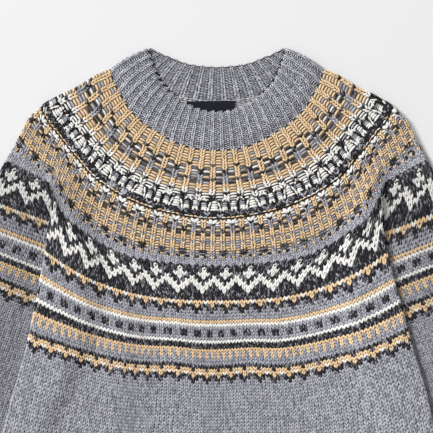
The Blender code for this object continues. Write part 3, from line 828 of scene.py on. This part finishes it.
# Filled rows of charcoal, and the line of purl dashes where the ladders change.
filledRows = {"levels": (0.915, 0.945, 0.972), "columns": 66, "high": 0.042, "grey": 0.08}
dashes = {"level": 1.006, "columns": 96, "high": 0.042, "raised": 0.3, "slant": 0.4}
dashYarns = {"G": 0.48, "W": 0.32, "K": 0.2}


def knitPurlLine(knit):
    columns = filledRows["columns"]
    for level in filledRows["levels"]:
        yarns = np.where(knit.random.random(columns) < filledRows["grey"], ".", "K")
        knit.stitches(evenShares(columns), level, 1 / columns, filledRows["high"], yarns)
    columns = dashes["columns"]
    yarns = knit.random.choice(list(dashYarns), columns, p=list(dashYarns.values()))
    knit.bars(evenShares(columns), dashes["level"], 1.0 / columns, dashes["high"], yarns,
              raised=dashes["raised"], slant=knit.random.normal(0.0, dashes["slant"], columns))


# Below the line, white fans and gold flowers in turn, with a leaf on each side of a flower.
# The first column of each, its width and height, and its yarn.
flowerLevel = 1.09
flowers = ((1, 0.85, 0.074, "W"), (0, 0.58, 0.058, "G"))
leaf = {"level": 1.115, "wide": 0.5, "high": 0.062, "slant": 0.55}


def knitFlowers(knit, columns):
    share = 1.0 / len(columns)
    for hand, leg in zip((-1, 1), flatLegs if knit.flat else legs):
        for first, wide, high, yarn in flowers:
            knit.add(leg, columns[first::2], flowerLevel, wide * share, high, yarn, raised=0.4)
        leaves = columns[::2] + hand * 0.5 * share
        leaves = leaves[(leaves > 0) & (leaves < 1)]
        knit.bars(leaves, leaf["level"], leaf["wide"] * share, leaf["high"], "W", raised=0.1,
                  slant=hand * leaf["slant"])


# Dark knots on every other column, plain rows down to the edge, and a gold end to each column.
lastRows = {
    "knots": (1.70, 1.738, 1.776), "knotWide": 0.95, "knotHigh": 0.06,
    "columns": 108, "plain": (1.84, 1.892, 1.944, 1.99), "plainHigh": 0.052,
    "end": 1.845, "endWide": 0.36, "endHigh": 0.05,
}


def knitLastRows(knit, columns):
    share = 1.0 / len(columns)
    for level in lastRows["knots"]:
        knit.bars(columns[::2], level, lastRows["knotWide"] * share, lastRows["knotHigh"], "K", raised=0.75)
    count = lastRows["columns"]
    for k, level in enumerate(lastRows["plain"]):
        # every other stitch of the first one is dark
        yarns = [".K"[n % 2 if k == 0 else 0] for n in range(count)]
        knit.stitches(evenShares(count), level, 1.0 / count, lastRows["plainHigh"], yarns)
    knit.stitches(columns, lastRows["end"], lastRows["endWide"] * share, lastRows["endHigh"], "G",
                  rails=True, raised=0.6)


def knitYoke(name, side, seed):
    knit = Knitting(name, yokePanel(side), seed)
    columns = evenShares(ladderBelow["columns"]) + ladderBelow["shift"]
    knitLadder(knit, ladderAbove)
    knitPartings(knit)
    knitPurlLine(knit)
    knitFlowers(knit, columns)
    knitLadder(knit, ladderBelow)
    knitLastRows(knit, columns)
    return knit.build()


def colour(red, green, blue):
    linear = [((c / 255 + 0.055) / 1.055) ** 2.4 if c > 10 else c / 255 / 12.92 for c in (red, green, blue)]
    return (*linear, 1.0)


# Colours as seen, 0 to 255: the yarn, its flecks, and how much of it is flecks.
yarnLooks = {
    ".": {"name": "greyYarn", "colour": (180, 180, 188), "fleck": (130, 130, 139), "flecks": 0.4},
    "K": {"name": "charcoalYarn", "colour": (33, 32, 36), "fleck": (156, 156, 163), "flecks": 0.10},
    "W": {"name": "ecruYarn", "colour": (240, 238, 233), "fleck": (214, 211, 206), "flecks": 0.25},
    "G": {"name": "goldYarn", "colour": (236, 206, 166), "fleck": (213, 181, 138), "flecks": 0.35},
    "R": {"name": "ribYarn", "colour": (206, 207, 214), "fleck": (147, 148, 157), "flecks": 0.4},
}


# How much a stitch's tone moves its share of flecks, and where the noise turns into flecks.
flecking = {"share": 0.26, "base": -0.2, "tone": 0.16, "from": 0.46, "to": 0.54}
fibres = {"size": 0.0009, "fine": 2600.0, "bump": 0.35, "bumpHeight": 0.0005}


# A node whose inputs are set to values, or linked to the sockets given for them.
def addNode(nodes, link, kind, inputs, **settings):
    node = nodes.new(kind)
    for name, value in settings.items():
        setattr(node, name, value)
    for key, value in inputs.items():
        if isinstance(value, bpy.types.NodeSocket):
            link(value, node.inputs[key])
        else:
            node.inputs[key].default_value = value
    return node


# Fibres of another colour mixed in, and a little unevenness from stitch to stitch.
def makeYarnGroup():
    group = bpy.data.node_groups.new("yarnMix", "ShaderNodeTree")
    for name, way, kind in (("Colour", "INPUT", "Color"), ("Fleck", "INPUT", "Color"),
                            ("Flecks", "INPUT", "Float"), ("Fleck size", "INPUT", "Float"),
                            ("Colour", "OUTPUT", "Color"), ("Normal", "OUTPUT", "Vector")):
        group.interface.new_socket(name, in_out=way, socket_type="NodeSocket" + kind)
    nodes, link = group.nodes, group.links.new
    start, end = nodes.new("NodeGroupInput"), nodes.new("NodeGroupOutput")

    def add(kind, inputs, **settings):
        return addNode(nodes, link, "ShaderNode" + kind, inputs, **settings)

    def calculate(operation, *inputs):
        return add("Math", dict(enumerate(inputs)), operation=operation).outputs[0]

    def attribute(name, output):
        return add("Attribute", {}, attribute_name=name).outputs[output]

    noise = add("TexNoise", {"Vector": attribute("lie", "Vector"), "Detail": 2.0, "Roughness": 0.6,
                             "Scale": calculate("DIVIDE", 1.0, start.outputs["Fleck size"])})
    # the share of flecks moves the step through the noise, and each stitch's tone a little
    share = calculate("MULTIPLY_ADD", start.outputs["Flecks"], flecking["share"], flecking["base"])
    move = calculate("MULTIPLY_ADD", attribute("tone", "Fac"), flecking["tone"], share)
    step = add("MapRange", {"Value": calculate("ADD", noise.outputs["Fac"], move),
                            "From Min": flecking["from"], "From Max": flecking["to"]})
    mix = add("Mix", {"Factor": step.outputs["Result"], 6: start.outputs["Colour"],
                      7: start.outputs["Fleck"]}, data_type="RGBA")
    # painted shade darkens the whole piece a little, for the sleeves lying lower beside the body and for the
    # inside of the neck
    left = calculate("SUBTRACT", 1.0, attribute("paintedShade", "Fac"))
    darker = add("VectorMath", {0: mix.outputs[2], "Scale": left}, operation="SCALE")
    link(darker.outputs["Vector"], end.inputs["Colour"])
    place = add("TexCoord", {})
    fine = add("TexNoise", {"Vector": place.outputs["Object"], "Scale": fibres["fine"], "Detail": 1.0})
    bump = add("Bump", {"Height": fine.outputs["Fac"], "Strength": fibres["bump"],
                        "Distance": fibres["bumpHeight"]})
    link(bump.outputs["Normal"], end.inputs["Normal"])
    return group


def newMaterial(name, **values):
    material = bpy.data.materials.new(name)
    material.use_nodes = True
    shader = material.node_tree.nodes["Principled BSDF"]
    for key, value in values.items():
        shader.inputs[key.replace("_", " ")].default_value = value
    return material, shader


def makeYarn(look, group):
    material, shader = newMaterial(look["name"], Roughness=0.9, Specular_IOR_Level=0.15,
                                   Sheen_Weight=0.1, Sheen_Roughness=0.5)
    link = material.node_tree.links.new
    mixed = addNode(material.node_tree.nodes, link, "ShaderNodeGroup", {
        "Colour": colour(*look["colour"]), "Fleck": colour(*look["fleck"]),
        "Flecks": look["flecks"], "Fleck size": fibres["size"]}, node_tree=group)
    link(mixed.outputs["Colour"], shader.inputs["Base Color"])
    link(mixed.outputs["Normal"], shader.inputs["Normal"])
    return material


def makePlain(name, seen, roughness):
    return newMaterial(name, Base_Color=colour(*seen), Roughness=roughness, Specular_IOR_Level=0.2)[0]


yarnGroup = makeYarnGroup()
yarnMaterials = {yarn: makeYarn(look, yarnGroup) for yarn, look in yarnLooks.items()}
clothMaterials = {
    # the grey cloth behind is darker than the yarn: partly the strands behind, partly painted shade in the
    # gaps between stitches
    "grey": makePlain("clothBehind", (66, 66, 71), 1.0),
    "brown": makePlain("brownClothBehind", (104, 94, 84), 1.0),
    "dark": makePlain("darkClothBehind", (32, 29, 28), 1.0),
}

rowsOf = {
    "body": np.linspace(firstRow - 0.4, body["lastRow"], 76),
    "yoke": np.linspace(0.0, 2.0, 41),
    "sleeve": np.linspace(firstRow, sleeve["lastRow"], 60),
    "band": np.concatenate([np.linspace(0.0, 0.92, 14), [0.95, 0.975, 0.99, 1.0]]),
}


# Hides the solid; the first piece is the cloth built in its place, and the others are its stitches.
def dress(node, slot, *pieces):
    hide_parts(node)


# The cloth of a tube or of one side of it, seated below its stitches.
def seatedCloth(name, panels, rows, count=cloth["points"]):
    return clothWall(name, panels, rows, count, cloth["seat"], cloth["wall"])


# A ribbed ring: its cloth, and its ribs on top and underneath.
def makeRing(name, node, ring, seed, sign=1):
    last = len(ring["sections"]) - 1
    rows = np.linspace(0, last, ring["clothRows"])
    panels = [tubePanel(ring["sections"], ((0, last), (0, last)), rows, side, sign) for side in (1, -1)]
    shell = seatedCloth(name + "Cloth", panels, rows, ring["points"])
    knits = [knitRibs(name + end, panels[k], ring["ribs"], ring["rows"], ring["span"], seed + k)
             for k, end in enumerate(("Knit", "UnderKnit"))]
    dress(node, "grey_rib", shell, *knits)
    return shell, *knits


print("knitting the body")
front = seatedCloth("frontCloth", [bodyPanel(1)], rowsOf["body"])
frontKnit = knitBody("frontKnit", 1, 1)
back = seatedCloth("backCloth", [bodyPanel(-1)], rowsOf["body"])
backKnit = knitBody("backKnit", -1, 2)
dress("front", "body_knit", front, frontKnit)
dress("back", "body_knit", back, backKnit)

print("knitting the yoke and neckband")
deeperSeat = 0.3
yokeCloth = clothWall("yokeCloth", [yokePanel(1), yokePanel(-1)], rowsOf["yoke"], cloth["points"],
                      cloth["seat"] + deeperSeat, cloth["wall"] - deeperSeat, tint="brown")
darkenParting(yokeCloth)
yokeKnit = knitYoke("yokeKnit", 1, 3)
yokeBackKnit = knitYoke("yokeBackKnit", -1, 4)
dress("yoke", "yoke_knit", yokeCloth, yokeKnit, yokeBackKnit)

bandSeat = 1.7
bandWall = np.interp(rowsOf["band"], (0.0, 0.9, 1.0), (1.2, 1.2, 0.6))
bandCloth = clothWall("neckbandCloth", [bandPanel(1), bandPanel(-1)], rowsOf["band"], cloth["points"],
                      bandSeat, bandWall)
bandKnit = knitRibs("neckbandKnit", bandPanel(1), neckband["frontRibs"], neckband["rows"],
                    (0.0, 1.0), 5, deep=0.6)
bandBackKnit = knitRibs("neckbandBackKnit", bandPanel(-1), neckband["backRibs"], neckband["rows"],
                        (0.0, 1.0), 6)
# painted shade darkens the stitches inside the back of the neck, in the recess under the front band
bandInsideKnit = knitRibs("neckbandInsideKnit", bandPanel(1, inside=True), neckband["backRibs"],
                          neckband["rows"], (0.0, 1.0), 7, deep=0.6, paintedShade=0.12, leftOut=underLipAndShadowLine)
backInsideKnit = knitInside("backInsideKnit", 8)
dress("neckband", "grey_rib", bandCloth, bandKnit, bandBackKnit, bandInsideKnit, backInsideKnit)

print("knitting the sleeves and the ribs")
sleeveParts = []
for word, sign, seed in (("Left", -1, 10), ("Right", 1, 20)):
    panels = [sleevePanel(rowsOf["sleeve"], side, sign) for side in (1, -1)]
    shell = seatedCloth("sleeve" + word + "Cloth", panels, rowsOf["sleeve"], 60)
    top = knitSleeve("sleeve" + word + "Knit", sign, 1, seed)
    under = knitSleeve("sleeve" + word + "UnderKnit", sign, -1, seed + 1)
    dress("sleeve_" + word.lower(), "body_knit", shell, top, under)
    ribbed = makeRing("cuff" + word, "cuff_" + word.lower(), cuff, seed + 2, sign)
    sleeveParts += [(shell, top, under), ribbed]
hemCloth, *hemKnits = makeRing("hem", "hem_rib", hem, 30)

# The woven label inside the back of the neck, in mm.
label = {
    "width": 58.0, "height": 21.0, "thick": 0.5, "middle": (-7.5, 232.5), "bottom": 4.4, "tilt": 0.02,
    "colour": (16, 20, 27),
}


def makeLabel():
    across, along = np.meshgrid(np.linspace(-0.5, 0.5, 13), np.linspace(-0.5, 0.5, 7))
    x = across * label["width"]
    y = along * label["height"] + x * label["tilt"]
    z = label["bottom"] + label["thick"] + 0.15 * np.cos(across * 5) + 0.1 * np.sin(along * 4)
    layers = [np.stack([x + label["middle"][0], y + label["middle"][1], z - drop], -1)
              for drop in (0.0, label["thick"])]
    piece = closedWall("neckLabel", layers, False, makePlain("labelWeave", label["colour"], 0.6))
    piece.data.polygons.foreach_set("use_smooth", np.zeros(len(piece.data.polygons), bool))
    return piece


# The floor, the light from the upper left, and the camera straight above, as in the photo.
studio = {
    "floor": (224, 224, 225), "floorHalf": 3.0, "floorLevel": -0.0002,
    "world": 0.47, "lampSize": 3.7, "lampEnergy": 1385.0,
    "lampPlace": (-7.6, 4.45, 6.0), "lampTurn": (55.6, 0.0, 239.6),
    "lens": 100.0, "sensor": 36.0, "seenWidth": 0.5196, "clothTop": 0.008, "middle": (-0.0006, 0.104),
}


def placeFloor():
    half, level = studio["floorHalf"], studio["floorLevel"]
    corners = [(x * half, y * half, level) for x, y in ((-1, -1), (1, -1), (1, 1), (-1, 1))]
    mesh = newMesh("floor", corners, [(0, 1, 2, 3)])
    mesh.materials.append(makePlain("paleFloor", studio["floor"], 0.8))
    floor = placeObject("floor", mesh)


def lightScene():
    world = bpy.data.worlds.new("studio")
    bpy.context.scene.world = world
    bpy.context.scene.view_settings.view_transform = "Standard"
    world.use_nodes = True
    background = world.node_tree.nodes["Background"]
    background.inputs["Color"].default_value = (1.0, 1.0, 1.0, 1.0)
    background.inputs["Strength"].default_value = studio["world"]
    lamp = bpy.data.lights.new("window", "AREA")
    lamp.shape = "DISK"
    lamp.size = studio["lampSize"]
    lamp.energy = studio["lampEnergy"]
    lampObject = placeObject("window", lamp)
    lampObject.location = studio["lampPlace"]
    lampObject.rotation_euler = [math.radians(turn) for turn in studio["lampTurn"]]


def placeCamera():
    cameraData = bpy.data.cameras.new("above")
    cameraData.lens = studio["lens"]
    cameraData.sensor_width = studio["sensor"]
    camera = placeObject("above", cameraData)
    height = studio["clothTop"] + studio["seenWidth"] * studio["lens"] / studio["sensor"]
    camera.location = (*studio["middle"], height)
    bpy.context.scene.camera = camera


print("placing the label, floor, light and camera")
neckLabel = makeLabel()
dress("neck_label", "label_weave", neckLabel)
placeFloor()
lightScene()
placeCamera()
